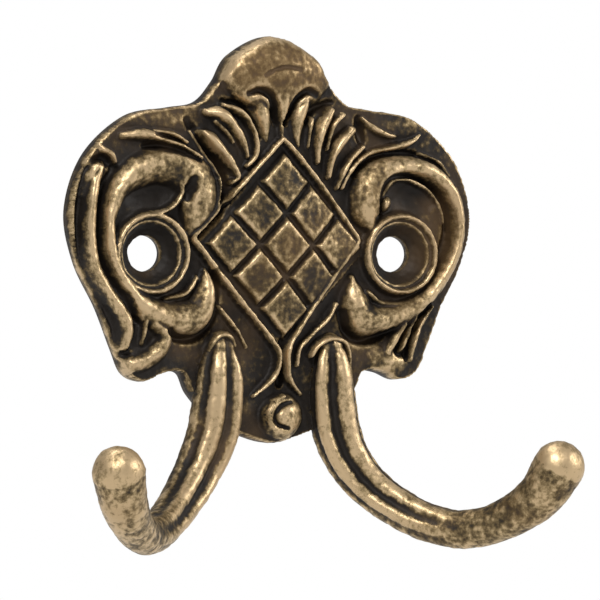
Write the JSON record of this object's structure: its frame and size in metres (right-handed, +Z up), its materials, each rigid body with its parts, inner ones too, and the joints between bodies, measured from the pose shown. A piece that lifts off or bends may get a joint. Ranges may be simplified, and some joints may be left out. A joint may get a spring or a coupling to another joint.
{
  "type": "coat hook",
  "caption": "Ornamental cast double coat hook with a scrolled back plate, a trellis lozenge and a hook arm curving out on each side.",
  "frame": {"origin": "midway between the two screw holes, on the flat back face that lies on the wall", "axes": "+Z up the wall, +X along the wall from one screw hole to the other, -Y out from the wall towards the room"},
  "size_m": [0.074, 0.0279, 0.0716],
  "materials": {
    "antique_brass": "dark antique patina, rubbed bright on the high points"
  },
  "bodies": {
    "root": {"coat_hook": "antique_brass"}
  },
  "joints": []
}
